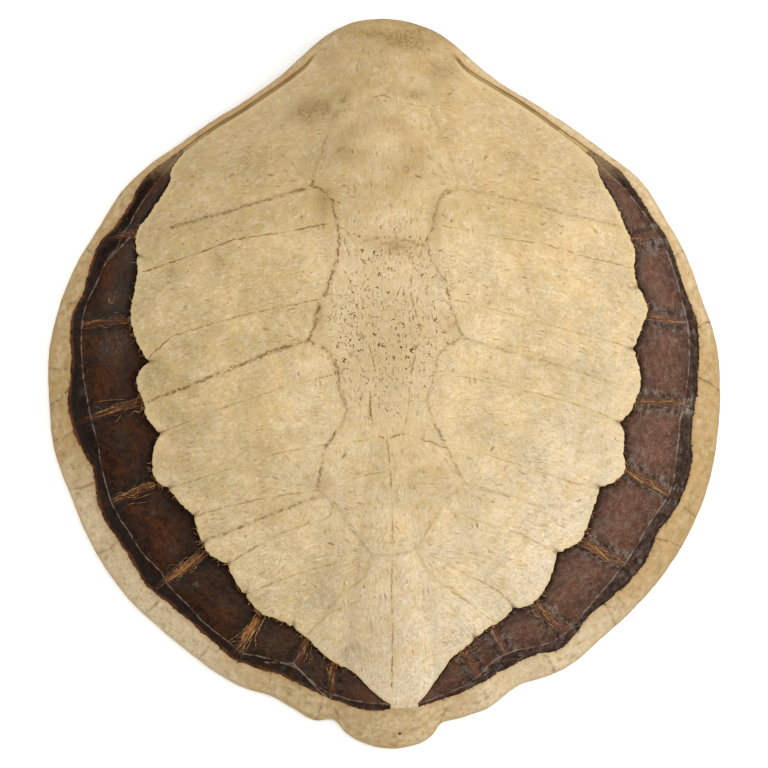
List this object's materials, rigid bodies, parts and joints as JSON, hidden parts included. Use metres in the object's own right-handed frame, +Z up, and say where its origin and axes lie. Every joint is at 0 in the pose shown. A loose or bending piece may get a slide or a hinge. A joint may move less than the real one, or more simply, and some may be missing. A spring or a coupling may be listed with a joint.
{
  "type": "sea turtle carapace",
  "caption": "Bony back shell of a young green turtle, scutes gone, with dried skin strips between the pale domed disc and the rim of edge bones.",
  "frame": {"origin": "on the ground, under the middle of the shell's length and width", "axes": "+Y along the shell from tail to neck, +X towards the turtle's right side, +Z up through the crown of the dome"},
  "size_m": [0.6433, 0.6941, 0.178],
  "materials": {
    "bone": "satin",
    "skin": "gloss"
  },
  "bodies": {
    "root": {"carapace_bone": "bone", "skin_left": "skin", "skin_right": "skin"}
  },
  "joints": []
}
